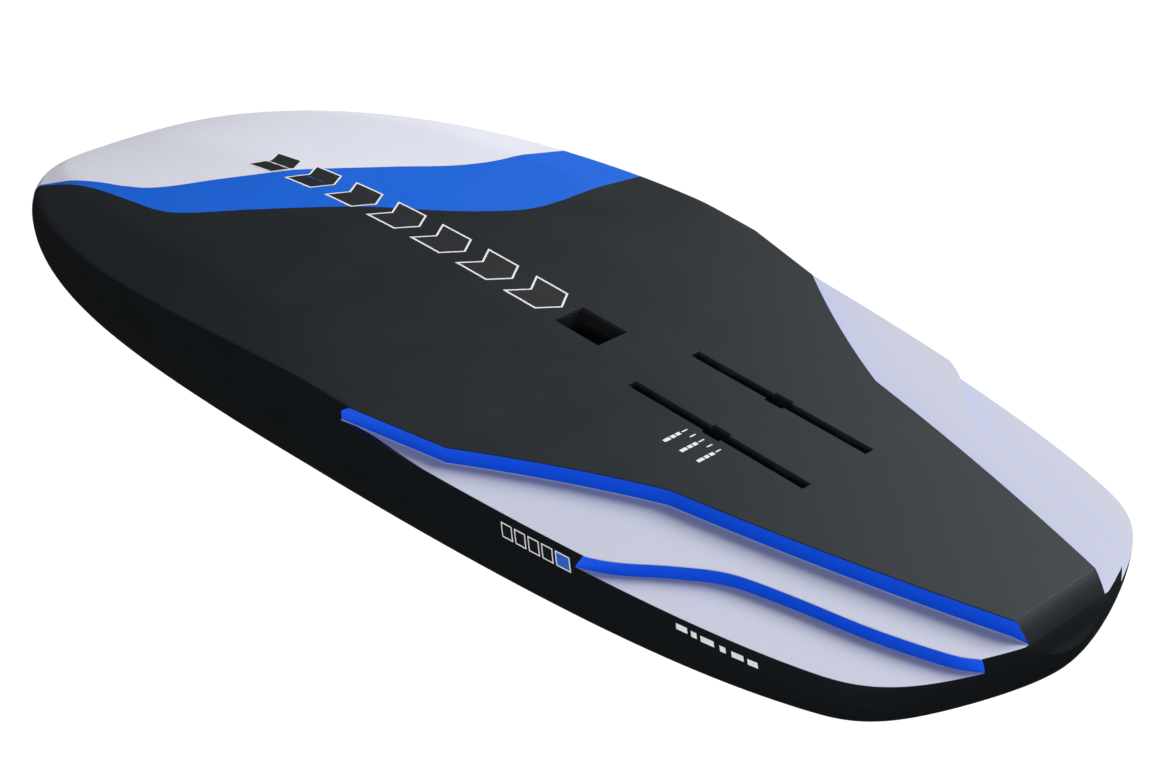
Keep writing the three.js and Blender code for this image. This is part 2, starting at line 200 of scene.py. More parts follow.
CRISP_RADIUS = 1.2
SOFT_RADIUS = 14
SOFTENS_AT_X = -330
SOFTENS_OVER = 420


def edge_radius(x):
    """The bottom's edge is crisp along the middle and soft round the nose."""
    return mix(CRISP_RADIUS, SOFT_RADIUS, min(max((SOFTENS_AT_X - x) / SOFTENS_OVER, 0), 1))


LAST_SHARE = 0.95
BOTTOM_SHARES = [*np.linspace(0, CHINE - 0.02, 12), CHINE + 0.02, 0.83, 0.89, LAST_SHARE]
RAIL_SHARES = [*np.linspace(0, WIDEST, 8), *mix(WIDEST, 1, np.sin(np.linspace(0.12, math.pi / 2, 15)))]
DECK_SHARES = np.linspace(0.9, 0, 10)


def hull_loops(inset):
    """Sections of the whole body without its steps, pulled in all round by inset."""
    edge = bottom_edge()
    normals = left_normals(edge)
    normals[0] = (-1, 0)
    normals[-1] = (1, 0)
    loops = []
    for i, (point, normal) in enumerate(zip(edge, normals)):
        x = point[0]
        crease_z = crease_height(x) - inset
        deck_z = deck_height(x) + inset

        def on_rail(share):
            at = point + normal * (rail_offset(share, crease_z - deck_z) - inset)
            return np.array([at[0], at[1], mix(crease_z, deck_z, share)])

        low = on_rail(0)
        high = on_rail(1)
        ends = i in (0, len(edge) - 1)
        crown = 0 if ends else crown_at(x)
        bottom = [np.array([low[0], low[1] * s, bottom_height(x, s) - inset]) for s in BOTTOM_SHARES]
        radius = min(edge_radius(x), 0.3 * max(low[1], 0.01), 0.2 * (crease_z - deck_z))
        start = radius / (crease_z - deck_z)
        inboard = np.array([low[0], low[1] * LAST_SHARE, bottom_height(x, LAST_SHARE) - inset]) - low
        inboard = inboard / max(np.linalg.norm(inboard), 1e-6) * min(radius, 0.045 * abs(low[1]))
        down = on_rail(0.09) - low
        down = down / np.linalg.norm(down) * radius
        soft = [(1 - t) ** 2 * (low + inboard) + 2 * (1 - t) * t * low + t * t * (low + down)
                for t in np.linspace(0, 1, 6)]
        rail = [on_rail(mix(start + 0.015, 1, s)) for s in RAIL_SHARES]
        deck = [np.array([high[0], high[1] * s, high[2] - crown * (1 - s * s)]) for s in DECK_SHARES]
        port = [*bottom, *soft, *rail, *deck]
        loops.append([*port, *[p * (1, -1, 1) for p in reversed(port[1:-1])]])
    return loops


# ---- meshes ----
def new_object(name, vertices, faces, materials=(), face_materials=None):
    mesh = bpy.data.meshes.new(name)
    mesh.from_pydata([tuple(v) for v in vertices], [], faces)
    for material in materials:
        mesh.materials.append(material)
    if face_materials is not None:
        mesh.polygons.foreach_set("material_index", face_materials)
    mesh.update()
    made = bpy.data.objects.new(name, mesh)
    scene.collection.objects.link(made)
    return made


def loft(name, loops, material):
    """A closed skin over loops of equally many points in millimetres.

    Loops may shrink to a line at the ends.
    """
    around = len(loops[0])
    vertices = np.array([p for loop in loops for p in loop]) * MM
    faces = []
    for i in range(len(loops) - 1):
        for j in range(around):
            a = i * around + j
            b = i * around + (j + 1) % around
            faces.append((a, a + around, b + around, b))
    made = new_object(name, vertices, faces, [material])
    work = bmesh.new()
    work.from_mesh(made.data)
    bmesh.ops.remove_doubles(work, verts=work.verts, dist=1e-6)
    bmesh.ops.recalc_face_normals(work, faces=work.faces)
    work.to_mesh(made.data)
    work.free()
    return made


def prism(name, points, z0, z1, side, floor):
    """A plan outline in millimetres standing between two heights, with its own side and floor materials."""
    count = len(points)
    vertices = [(p[0] * MM, p[1] * MM, z * MM) for z in (z0, z1) for p in points]
    faces = [tuple(range(count)), tuple(range(2 * count - 1, count - 1, -1))]
    faces += [(j, count + j, count + (j + 1) % count, (j + 1) % count) for j in range(count)]
    made = new_object(name, vertices, faces, [side, floor], [1, 0] + [0] * count)
    fix_normals(made)
    return made


def profile(name, points, y0, y1, material):
    """A side profile of (x, z) in millimetres, running across the board."""
    count = len(points)
    vertices = [(p[0] * MM, y * MM, p[1] * MM) for y in (y0, y1) for p in points]
    faces = [tuple(range(count)), tuple(range(2 * count - 1, count - 1, -1))]
    faces += [(j, count + j, count + (j + 1) % count, (j + 1) % count) for j in range(count)]
    made = new_object(name, vertices, faces, [material])
    fix_normals(made)
    return made


def fix_normals(made):
    work = bmesh.new()
    work.from_mesh(made.data)
    bmesh.ops.recalc_face_normals(work, faces=work.faces)
    work.to_mesh(made.data)
    work.free()


def boolean(base, tool, operation):
    """Joins or cuts base with tool. The tool is used up, and its faces keep their materials."""
    cut = base.modifiers.new("cut", "BOOLEAN")
    cut.operation = operation
    cut.solver = "MANIFOLD"
    cut.object = tool
    cut.material_mode = "TRANSFER"
    bake(base)
    bpy.data.objects.remove(tool, do_unlink=True)


def bake(made):
    """Applies every modifier."""
    bpy.context.view_layer.update()
    graph = bpy.context.evaluated_depsgraph_get()
    shaped = made.evaluated_get(graph)
    mesh = bpy.data.meshes.new_from_object(shaped, preserve_all_data_layers=True, depsgraph=graph)
    old = made.data
    made.modifiers.clear()
    made.data = mesh
    mesh.name = made.name
    bpy.data.meshes.remove(old)


def mirrored(points):
    return [(x, -y) for x, y in reversed(points)]


# ---- the steps of the bottom ----
STEP_1_FRONT = 139


def step_one_line():
    hollow = quadratic((270, 263), (368.5, 195), (465.5, 148), 24)
    run = quadratic((465.5, 148), (637, 112), (KICK_X, 58), 20)
    return np.vstack([[(STEP_1_FRONT, 293.5)], hollow, run[1:], [(TAIL_X + 60, 46)]])


def step_two_line():
    return through([
        (430, 282), (467, 264.5), (498, 246), (538.5, 209), (579.5, 179), (640, 160), (718, 141),
        (786, 117), (812, 100), (870, 60),
    ], 7)


def step_tools(name, line, depth, inset, wall, ramp):
    cut = offset_line(line, -inset)
    port = [*map(tuple, cut), (FAR, cut[-1][1]), (FAR, FAR), (cut[0][0], FAR)]
    low = FLAT - depth - inset
    return [prism(name, points, low, FLAT + FAR, wall, ramp) for points in (port, mirrored(port))]


def kick_tool(inset, material):
    """Everything that the tail drops away from, behind the kick line."""
    x = KICK_X - inset
    top = FLAT - inset
    bend = (x + KICK_BEND[0], top - KICK_BEND[1])
    slope = quadratic((x, top), bend, (x + KICK_RUN, top - KICK_DEPTH), 10)
    points = [*map(tuple, slope), (x + 60, top - KICK_DEPTH), (x + 60, top + FAR), (x, top + FAR)]
    return profile("kick", points, -FAR, FAR, material)


def seam_tool(material):
    """Everything on the deck's side of the seam that runs round the rail."""
    xs = np.linspace(NOSE_X - 20, TAIL_X + 20, 60)
    seam = [(x, mix(crease_height(x), deck_height(x), SEAM)) for x in xs]
    return profile("seam", [(seam[0][0], -FAR), (seam[-1][0], -FAR), *reversed(seam)], -FAR, FAR, material)


def board(name, inset, paint, wall, ramp):
    made = loft(name, hull_loops(inset), paint)
    for tool in step_tools("step_1", step_one_line(), STEP_1_DEPTH, inset, wall, ramp):
        boolean(made, tool, "DIFFERENCE")
    for tool in step_tools("step_2", step_two_line(), STEP_2_DEPTH, inset, wall, ramp):
        boolean(made, tool, "DIFFERENCE")
    boolean(made, kick_tool(inset, paint), "DIFFERENCE")
    return made


def block(name, low, high, material):
    points = [(low[0], low[1]), (high[0], low[1]), (high[0], high[1]), (low[0], high[1])]
    return prism(name, points, low[2], high[2], material, material)


# ---- node materials ----
def material(name, build):
    made = bpy.data.materials.new(name)
    made.use_nodes = True
    nodes = made.node_tree.nodes
    links = made.node_tree.links
    build(nodes, links, nodes["Principled BSDF"])
    return made


def add(nodes, kind, **values):
    node = nodes.new(kind)
    for key, value in values.items():
        node.inputs[key.replace("_", " ")].default_value = value
    return node


def object_position(nodes):
    return nodes.new("ShaderNodeTexCoord").outputs["Object"]


def grain(nodes, links, shader, scale=900, strength=0.10, low=0.42, high=0.58, edge=0.8):
    """Fine grain in the bump and the roughness, over edges that are softened by edge millimetres."""
    noise = add(nodes, "ShaderNodeTexNoise", Scale=scale, Detail=3)
    links.new(object_position(nodes), noise.inputs["Vector"])
    rounded = nodes.new("ShaderNodeBevel")
    rounded.samples = 4
    rounded.inputs["Radius"].default_value = edge * MM
    bump = add(nodes, "ShaderNodeBump", Strength=strength, Distance=0.2 * MM)
    links.new(noise.outputs["Fac"], bump.inputs["Height"])
    links.new(rounded.outputs["Normal"], bump.inputs["Normal"])
    links.new(bump.outputs["Normal"], shader.inputs["Normal"])
    wide = add(nodes, "ShaderNodeTexNoise", Scale=14, Detail=4)
    links.new(object_position(nodes), wide.inputs["Vector"])
    rough = nodes.new("ShaderNodeMapRange")
    rough.inputs["To Min"].default_value = low
    rough.inputs["To Max"].default_value = high
    links.new(wide.outputs["Fac"], rough.inputs["Value"])
    links.new(rough.outputs["Result"], shader.inputs["Roughness"])
    return noise


def speckled(nodes, links, noise, dark, light):
    """A colour that varies slightly with the noise node's first output."""
    ramp = nodes.new("ShaderNodeValToRGB")
    ramp.color_ramp.elements[0].position = 0.3
    ramp.color_ramp.elements[0].color = (*dark, 1)
    ramp.color_ramp.elements[1].position = 0.7
    ramp.color_ramp.elements[1].color = (*light, 1)
    links.new(noise.outputs[0], ramp.inputs["Fac"])
    return ramp.outputs["Color"]


BLACK = ((0.0032, 0.0046, 0.0054), (0.0062, 0.0078, 0.0088))
WHITE = ((0.67, 0.68, 0.76), (0.72, 0.73, 0.81))
# the ramps' white: the nose's white darkened, as painted shade
SHADED_WHITE = ((0.48, 0.50, 0.60), (0.52, 0.54, 0.64))
BLUE = ((0.0, 0.105, 0.60), (0.0, 0.115, 0.66))
# the step walls' blue: the band's blue made brighter, as painted light on the walls
WALL_BLUE_PAINTED_LIGHT = ((0.0, 0.085, 0.84), (0.0, 0.095, 0.88))
CREAM = (0.80, 0.72, 0.62)

# the two painted boundaries of the nose: x, y, from the nose to where each runs off the port rail
WHITE_EDGE = [
    (-838, -185), (-682, -169), (-576, -151), (-508, -143), (-470, -130), (-413, -69), (-343, 13),
    (-273, 89), (-206, 168), (-190, 215), (-186, 330),
]
BLUE_EDGE = [
    (-838, -190), (-682, -173), (-560, -168), (-448, -171), (-395, -170), (-368, -162), (-298, -104),
    (-221, -32), (-71, 108), (-54, 142), (-48, 200), (-46, 330),
]
# width of the cream line between them, measured along x
CREAM_LINE = 1.6


def boundary(nodes, links, x_socket, points):
    """y in metres of a painted boundary at x, from a curve over its few points."""
    x0, x1 = points[0][0], points[-1][0]
    y0, y1 = -400, 400
    scaled = nodes.new("ShaderNodeMapRange")
    scaled.inputs["From Min"].default_value = x0 * MM
    scaled.inputs["From Max"].default_value = x1 * MM
    links.new(x_socket, scaled.inputs["Value"])
    curve = nodes.new("ShaderNodeFloatCurve")
    line = curve.mapping.curves[0]
    while len(line.points) > 2:
        line.points.remove(line.points[1])
    line.points[0].location = (0, (points[0][1] - y0) / (y1 - y0))
    line.points[1].location = (1, (points[-1][1] - y0) / (y1 - y0))
    for x, y in points[1:-1]:
        line.points.new((x - x0) / (x1 - x0), (y - y0) / (y1 - y0))
    curve.mapping.update()
    links.new(scaled.outputs["Result"], curve.inputs["Value"])
    back = nodes.new("ShaderNodeMapRange")
    back.inputs["To Min"].default_value = y0 * MM
    back.inputs["To Max"].default_value = y1 * MM
    links.new(curve.outputs["Value"], back.inputs["Value"])
    return back.outputs["Result"]


def math_node(nodes, links, operation, a, b):
    node = nodes.new("ShaderNodeMath")
    node.operation = operation
    for socket, value in zip(node.inputs, (a, b)):
        if isinstance(value, (int, float)):
            socket.default_value = value
        else:
            links.new(value, socket)
    return node.outputs[0]


def blended(nodes, links, factor, under, over):
    """Two colours, mixed by factor."""
    blend = nodes.new("ShaderNodeMix")
    blend.data_type = "RGBA"
    links.new(factor, blend.inputs["Factor"])
    links.new(under, blend.inputs[6])
    links.new(over, blend.inputs[7])
    return blend.outputs[2]


def painted(nodes, links, shader):
    """Black lacquer with a white nose to port, and a blue band and a thin cream line between them."""
    shader.inputs["Specular IOR Level"].default_value = 0.42
    shader.inputs["Specular Tint"].default_value = (0.72, 0.86, 1.0, 1)
    noise = grain(nodes, links, shader)
    split = nodes.new("ShaderNodeSeparateXYZ")
    links.new(object_position(nodes), split.inputs[0])
    x, y = split.outputs["X"], split.outputs["Y"]
    aft_of = math_node(nodes, links, "ADD", x, CREAM_LINE * MM)
    colour = speckled(nodes, links, noise, *BLACK)
    layers = [
        (boundary(nodes, links, x, BLUE_EDGE), BLUE),
        (boundary(nodes, links, x, WHITE_EDGE), (CREAM, CREAM)),
        (boundary(nodes, links, aft_of, WHITE_EDGE), WHITE),
    ]
    for edge, (dark, light) in layers:
        above = math_node(nodes, links, "GREATER_THAN", y, edge)
        colour = blended(nodes, links, above, colour, speckled(nodes, links, noise, dark, light))
    links.new(colour, shader.inputs["Base Color"])


def lacquer(pair, low=0.42, high=0.58):
    def build(nodes, links, shader):
        noise = grain(nodes, links, shader, low=low, high=high)
        links.new(speckled(nodes, links, noise, *pair), shader.inputs["Base Color"])
    return build


def step_wall(nodes, links, shader):
    """Blue, made brighter as painted light, with black at the flat's edge and at step 1's front end, and a
    pale band at the upper ramp's edge, partly the ramp's white wrapping over it and partly painted
    highlight.
    """
    noise = grain(nodes, links, shader)
    split = nodes.new("ShaderNodeSeparateXYZ")
    links.new(object_position(nodes), split.inputs[0])
    x, z = split.outputs["X"], split.outputs["Z"]
    # painted light: the walls take a brighter blue than the band
    colour = speckled(nodes, links, noise, *WALL_BLUE_PAINTED_LIGHT)
    wraps_and_highlight = (
        # painted highlight: a band of the ramps' shaded white along the top of wall 2, partly the ramp's
        # white wrapping over it
        (z, FLAT - STEP_1_DEPTH, 0.7, SHADED_WHITE),
        (z, FLAT, 0.9, BLACK),
        (x, STEP_1_FRONT, 0.6, BLACK),
    )
    for along, middle, reach, pair in wraps_and_highlight:
        over = math_node(nodes, links, "COMPARE", along, middle * MM)
        over.node.inputs[2].default_value = reach * MM
        colour = blended(nodes, links, over, colour, speckled(nodes, links, noise, *pair))
    links.new(colour, shader.inputs["Base Color"])
    shader.inputs["Specular IOR Level"].default_value = 0.15


# where the rail's black ends on the upper ramp: x and the distance from the middle
RIM_LINE = [
    (120, 296), (141, 294.5), (160, 289.5), (236, 287), (322, 285), (402, 281), (440, 277), (470, 270.5),
]


def step_ramp(nodes, links, shader):
    """White darkened as painted shade, with the rail's black wrapping over its outer edge on the upper ramp.
    """
    noise = grain(nodes, links, shader)
    split = nodes.new("ShaderNodeSeparateXYZ")
    links.new(object_position(nodes), split.inputs[0])
    edge = boundary(nodes, links, split.outputs["X"], RIM_LINE)
    out = math_node(nodes, links, "ABSOLUTE", split.outputs["Y"], 0)
    over = math_node(nodes, links, "GREATER_THAN", out, edge)
    high = math_node(nodes, links, "GREATER_THAN", split.outputs["Z"], (FLAT - STEP_1_DEPTH - 1) * MM)
    rim = math_node(nodes, links, "MULTIPLY", over, high)
    # painted shade: the ramp takes the darkened copy of the nose's white
    white = speckled(nodes, links, noise, *SHADED_WHITE)
    black = speckled(nodes, links, noise, *BLACK)
    links.new(blended(nodes, links, rim, white, black), shader.inputs["Base Color"])


PAINT = material("board_paint", painted)
WALL = material("step_wall_blue", step_wall)
RAMP = material("step_ramp_white", step_ramp)
CUT = material("laminate_edge", lacquer(((0.02, 0.022, 0.024), (0.03, 0.032, 0.034))))


# ---- shells ----
def mark_edges(made, angle=28):
    """Sharp edges are shaded sharp, and smooth ones smooth."""
    work = bmesh.new()
    work.from_mesh(made.data)
    bmesh.ops.remove_doubles(work, verts=work.verts, dist=2e-6)
    bmesh.ops.dissolve_degenerate(work, edges=work.edges, dist=2e-6)
    limit = math.radians(angle)
    for face in work.faces:
        face.smooth = True
    for edge in work.edges:
        edge.smooth = len(edge.link_faces) == 2 and edge.calc_face_angle(0) < limit
    work.to_mesh(made.data)
    work.free()


def copied(made, name):
    twin = made.copy()
    twin.data = made.data.copy()
    twin.name = name
    scene.collection.objects.link(twin)
    return twin


def disc(name, x, y, radius, z0, z1, paint, sides=48):
    turns = [2 * math.pi * i / sides for i in range(sides)]
    points = [(x + radius * math.cos(t), y + radius * math.sin(t)) for t in turns]
    return prism(name, points, z0, z1, paint, paint)


def fitting(node):
    """Centre, radius and outer face of a round deck fitting."""
    low, high = corners(node)
    return (low[0] + high[0]) / 2, (low[1] + high[1]) / 2, (high[0] - low[0]) / 2, low[2]


FITTINGS = [fitting(node) for node in frame["nodes"] if node.startswith("strap_insert")]
FITTINGS += [fitting("vent_housing"), fitting("leash_cup")]
POCKET_REACH = 15


def opening(x, y, length, width):
    """A cutter through the bottom laminate, centred on (x, y)."""
    low = (x - length / 2, y - width / 2, FLAT - SKIN - 2)
    high = (x + length / 2, y + width / 2, FLAT + 5)
    return block("opening", low, high, CUT)


def shells():
    """The bottom and the deck side, parted at the seam, with their openings."""
    outer = board("bottom_shell", 0, PAINT, WALL, RAMP)
    inner = board("inner", SKIN, CUT, CUT, CUT)
    boolean(outer, inner, "DIFFERENCE")
    deck = copied(outer, "deck_shell")
    boolean(outer, seam_tool(CUT), "DIFFERENCE")
    boolean(deck, seam_tool(CUT), "INTERSECT")
    for y in TRACK_YS:
        boolean(outer, opening(TRACK_X, y, SLOT_LENGTH, SLOT_WIDTH), "DIFFERENCE")
        boolean(outer, opening(TRACK_X, y, ENTRY_LENGTH, ENTRY_WIDTH), "DIFFERENCE")
    boolean(outer, opening(HANDLE_X, 0, HANDLE_LENGTH, HANDLE_WIDTH), "DIFFERENCE")
    for x, y, radius, face in FITTINGS:
        low, high = face - POCKET_REACH, face + POCKET_REACH
        pocket = disc("pocket", x, y, radius + GLUE_GAP / 2, low, high, CUT)
        boolean(deck, pocket, "DIFFERENCE")
    for made in (outer, deck):
        mark_edges(made)
    return outer, deck


bottom_shell, deck_shell = shells()
for shell, slot, nodes in (
    (bottom_shell, "bottom_paint", ["bottom_skin"]),
    (deck_shell, "deck_paint", ["deck_skin", "rail_skin"]),
):
    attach(shell, "board")
    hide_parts(*nodes)


# ---- marks on the flat and on the rail ----
def drawn_in(points, distance):
    """A closed outline drawn in by distance. It runs anticlockwise."""
    p = [np.array(q, float) for q in points]
    out = []
    for before, at, after in zip(p[-1:] + p[:-1], p, p[1:] + p[:1]):
        a = (at - before) / np.linalg.norm(at - before)
        b = (after - at) / np.linalg.norm(after - at)
        across = np.array([-a[1], a[0]]) + np.array([-b[1], b[0]])
        out.append(at + across * distance / (1 + a @ b))
    return out


def rings(outlines, thickness):
    """Each outline as a band of that thickness, cut into quads."""
    quads = []
    for outline in outlines:
        inner = drawn_in(outline, thickness)
        n = len(outline)
        quads += [[outline[i], outline[(i + 1) % n], inner[(i + 1) % n], inner[i]] for i in range(n)]
    return quads


def decal(name, polygons, paint, surface, step=8):
    """Polygons of (a, b) in millimetres, cut fine and laid on surface(a, b), which gives a point."""
    work = bmesh.new()
    for polygon in polygons:
        work.faces.new([work.verts.new((a * MM, b * MM, 0)) for a, b in polygon])
    for axis in (0, 1):
        values = [v.co[axis] / MM for v in work.verts]
        normal = Vector((1, 0, 0)) if axis == 0 else Vector((0, 1, 0))
        for value in np.arange(min(values) + step, max(values), step):
            everything = work.verts[:] + work.edges[:] + work.faces[:]
            bmesh.ops.bisect_plane(work, geom=everything, plane_co=normal * value * MM, plane_no=normal)
    bmesh.ops.remove_doubles(work, verts=work.verts, dist=1e-6)
    for vert in work.verts:
        vert.co = Vector(surface(vert.co.x / MM, vert.co.y / MM)) * MM
    mesh = bpy.data.meshes.new(name)
    work.to_mesh(mesh)
    work.free()
    mesh.materials.append(paint)
    made = bpy.data.objects.new(name, mesh)
    scene.collection.objects.link(made)
    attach(made, "board")
    return made


EDGE = bottom_edge()
EDGE_NORMALS = left_normals(EDGE)


def on_bottom(lift):
    """A point on the bottom at (x, y), standing proud by lift."""
    def at(x, y):
        half = float(np.interp(x, EDGE[:, 0], EDGE[:, 1]))
        return x, y, bottom_height(x, abs(y) / half) + lift
    return at


def on_rail(lift):
    """A point on the starboard rail at (x, z), standing proud by lift."""
    def at(x, z):
        where = x
        for _ in range(3):
            depth = crease_height(where) - deck_height(where)
            out = rail_offset((crease_height(where) - z) / depth, depth) + lift
            normal = [float(np.interp(where, EDGE[:, 0], EDGE_NORMALS[:, k])) for k in (0, 1)]
            where = x - normal[0] * out
        return x, -float(np.interp(where, EDGE[:, 0], EDGE[:, 1])) - normal[1] * out, z
    return at


def box_outline(x0, y0, x1, y1, lean=0.0):
    return [(x0, y0), (x1, y0), (x1 + lean, y1), (x0 + lean, y1)]


FILL_LIFT = 0.12
BAR_LIFT = 0.15
LINE_LIFT = 0.2


def chevron(x, y, length, height, point):
    """An arrow-tailed bar that points aft."""
    body = length - point
    return [(x, y), (x + body, y), (x + length, y + height / 2), (x + body, y + height), (x, y + height),
            (x + point, y + height / 2)]


PRINT = ((0.74, 0.74, 0.76), (0.80, 0.80, 0.82))
PRINT_WHITE = material("printed_white", lacquer(PRINT))
PRINT_BLACK = material("printed_black", lacquer(BLACK))
PRINT_BLUE = material("printed_blue", lacquer(BLUE))

# a plain row of arrows along the middle, ahead of the handle
ROW = {"front": -427, "back": 142, "low": -21, "height": 49, "point": 18, "count": 7, "gap": 11, "line": 2.4}


def arrow_row():
    pitch = (ROW["back"] - ROW["front"] + ROW["gap"]) / ROW["count"]
    arrows = [
        chevron(ROW["front"] + i * pitch, ROW["low"], pitch - ROW["gap"], ROW["height"], ROW["point"])
        for i in range(ROW["count"])
    ]
    decal("arrow_fill", arrows, PRINT_BLACK, on_bottom(FILL_LIFT))
    decal("arrow_outline", rings(arrows, ROW["line"]), PRINT_WHITE, on_bottom(LINE_LIFT))


# setting marks beside the starboard track: a tick each, and three dashes beyond every other tick
TICKS = [402.3, 414, 426, 437.6, 449.4]
TICK_HALF = 0.9
TICK_SPAN = (-69.8, -62.3)
LABEL_HALF = 2.4
LABEL_SPANS = ((-77.5, -72), (-84.5, -79), (-94.5, -86))


def setting_marks():
    bars = [box_outline(x - TICK_HALF, TICK_SPAN[0], x + TICK_HALF, TICK_SPAN[1]) for x in TICKS]
    for x in TICKS[::2]:
        bars += [box_outline(x - LABEL_HALF, low, x + LABEL_HALF, high) for low, high in LABEL_SPANS]
    decal("setting_marks", bars, PRINT_WHITE, on_bottom(BAR_LIFT))


# outlined bars on the starboard rail, and a row of dashes aft of them that runs down towards the tail
BARS_Z = (152.5, 167.5)
BARS_X = (374, 391, 408, 425)
BAR_LENGTH = 14
LAST_BAR_X = (442, 460)
BAR_LEAN = -4
BAR_LINE = 1.3
DASHES = ((580, 12), (596, 6), (606, 14), (626, 6), (638, 12), (654, 10))
DASHES_Z = (148.2, 154.4)
DASHES_FALL = 0.065


def rail_marks():
    bars = [box_outline(x, BARS_Z[0], x + BAR_LENGTH, BARS_Z[1], BAR_LEAN) for x in BARS_X]
    decal("rail_bar_fill", bars, PRINT_BLACK, on_rail(FILL_LIFT))
    decal("rail_bar_outline", rings(bars, BAR_LINE), PRINT_WHITE, on_rail(LINE_LIFT))
    last = [box_outline(LAST_BAR_X[0], BARS_Z[0], LAST_BAR_X[1], BARS_Z[1], BAR_LEAN)]
    decal("rail_bar_last", last, PRINT_BLUE, on_rail(FILL_LIFT))
    decal("rail_bar_last_outline", rings(last, BAR_LINE), PRINT_WHITE, on_rail(LINE_LIFT))
    dashes = []
    for x, length in DASHES:
        fall = (x - DASHES[0][0]) * DASHES_FALL
        dashes.append(box_outline(x, DASHES_Z[0] - fall, x + length, DASHES_Z[1] - fall, -1))
    decal("rail_dashes", dashes, PRINT_WHITE, on_rail(BAR_LIFT))


arrow_row()
setting_marks()
rail_marks()


# ---- deck pads ----
def foam_pad(nodes, links, shader):
    """Closed-cell foam with diamond grooves and fine pores, the grooves coloured darker as painted shade."""
    pores = add(nodes, "ShaderNodeTexVoronoi", Scale=1400)
    links.new(object_position(nodes), pores.inputs["Vector"])
    cloud = add(nodes, "ShaderNodeTexNoise", Scale=30, Detail=5)
    links.new(object_position(nodes), cloud.inputs["Vector"])
    grooves = None
    for turn in (60, -60):
        turned = nodes.new("ShaderNodeMapping")
        turned.inputs["Rotation"].default_value = (0, 0, math.radians(turn))
        links.new(object_position(nodes), turned.inputs["Vector"])
        wave = add(nodes, "ShaderNodeTexWave", Scale=26)
        links.new(turned.outputs["Vector"], wave.inputs["Vector"])
        sharp = nodes.new("ShaderNodeMapRange")
        sharp.inputs["From Min"].default_value = 0.0
        sharp.inputs["From Max"].default_value = 0.12
        links.new(wave.outputs["Fac"], sharp.inputs["Value"])
        line = sharp.outputs["Result"]
        grooves = line if grooves is None else math_node(nodes, links, "MINIMUM", grooves, line)
    colour = speckled(nodes, links, cloud, (0.040, 0.044, 0.050), (0.060, 0.064, 0.072))
    # painted shade: the grooves are coloured darker than the foam
    dark = speckled(nodes, links, cloud, (0.012, 0.013, 0.015), (0.018, 0.019, 0.022))
    links.new(blended(nodes, links, grooves, dark, colour), shader.inputs["Base Color"])
    shader.inputs["Roughness"].default_value = 0.92
    fine = add(nodes, "ShaderNodeBump", Strength=0.35, Distance=0.0002)
    links.new(pores.outputs["Distance"], fine.inputs["Height"])
    cut = add(nodes, "ShaderNodeBump", Strength=0.8, Distance=0.0012)
    links.new(grooves, cut.inputs["Height"])
    links.new(fine.outputs["Normal"], cut.inputs["Normal"])
    links.new(cut.outputs["Normal"], shader.inputs["Normal"])


PAD = material("eva_foam", foam_pad)
# in metres: a ray from below that passes this height went through an opening in the deck
PAST_DECK_Z = 0.13


def deck_surface():
    """Height of the deck at (x, y), found on the shell from below, or near it over an opening."""
    tree = BVHTree.FromObject(deck_shell, bpy.context.evaluated_depsgraph_get())

    def at(x, y):
        hit = tree.ray_cast(Vector((x * MM, y * MM, -1)), Vector((0, 0, 1)))[0]
        on_deck = hit and hit.z < PAST_DECK_Z
        return hit.z / MM if on_deck else deck_height(x) - crown_at(x) * 0.5
    return at


def graded(low, high, count, rim):
    """Stations from low to high that crowd towards both ends, over the rim's width."""
    ends = [0, 0.12, 0.35, 0.65, 1]
    near = [low + rim * e for e in ends]
    far = [high - rim * e for e in reversed(ends)]
    return np.array([*near, *np.linspace(low + rim, high - rim, count)[1:-1], *far])


def rounded_drop(inside, rim):
    """How far a rounded rim falls short of full thickness, at a distance inside the edge."""
    left = min(max(1 - inside / rim, 0), 1)
    return rim * (1 - math.sqrt(1 - left * left))


def slab(name, xs, half_at, back_of, front_of, rim):
    """A sheet under the deck, front_of(x, y) to back_of(x, y), with its lower rim rounded."""
    rows = []
    for x in xs:
        half = half_at(x)
        rows.append([(x, y) for y in graded(-half, half, 44, rim)])
    across = len(rows[0])
    vertices = []
    for face in (back_of, front_of):
        for row in rows:
            half = row[-1][1]
            for x, y in row:
                z = face(x, y)
                if face is front_of:
                    inside = min(half - abs(y), x - xs[0], xs[-1] - x)
                    z += rounded_drop(inside, rim)
                vertices.append((x * MM, y * MM, z * MM))
    faces = []
    size = len(rows) * across
    for i in range(len(rows) - 1):
        for j in range(across - 1):
            a = i * across + j
            quad = (a, a + 1, a + across + 1, a + across)
            faces += [quad, tuple(size + k for k in reversed(quad))]
    border = list(range(across)) + [i * across + across - 1 for i in range(1, len(rows))]
    border += [(len(rows) - 1) * across + j for j in range(across - 2, -1, -1)]
    border += [i * across for i in range(len(rows) - 2, 0, -1)]
    for a, b in zip(border, border[1:] + border[:1]):
        faces.append((b, a, a + size, b + size))
    made = new_object(name, vertices, faces, [PAD])
    fix_normals(made)
    return made


deck_at = deck_surface()
PAD_THICK = 5
PAD_MARGIN = 52
PAD_LINE = offset_line(EDGE, -PAD_MARGIN)
PAD_RIM = 2.2
PAD_CORNER = 14
PAD_BACK_CLEAR = 0.05
PAD_ENDS_IN = 0.2
HOLE_CLEAR = 3
HOLE_REACH = 20
WIDEST_HOLE = 30


def pad_half(x0, x1, corner):
    """Half-width of a pad at x, with its corners rounded."""
    def at(x):
        half = float(np.interp(x, PAD_LINE[:, 0], PAD_LINE[:, 1]))
        near = min(x - x0, x1 - x)
        if near < corner:
            half -= corner - math.sqrt(max(corner ** 2 - (corner - near) ** 2, 0))
        return half
    return at


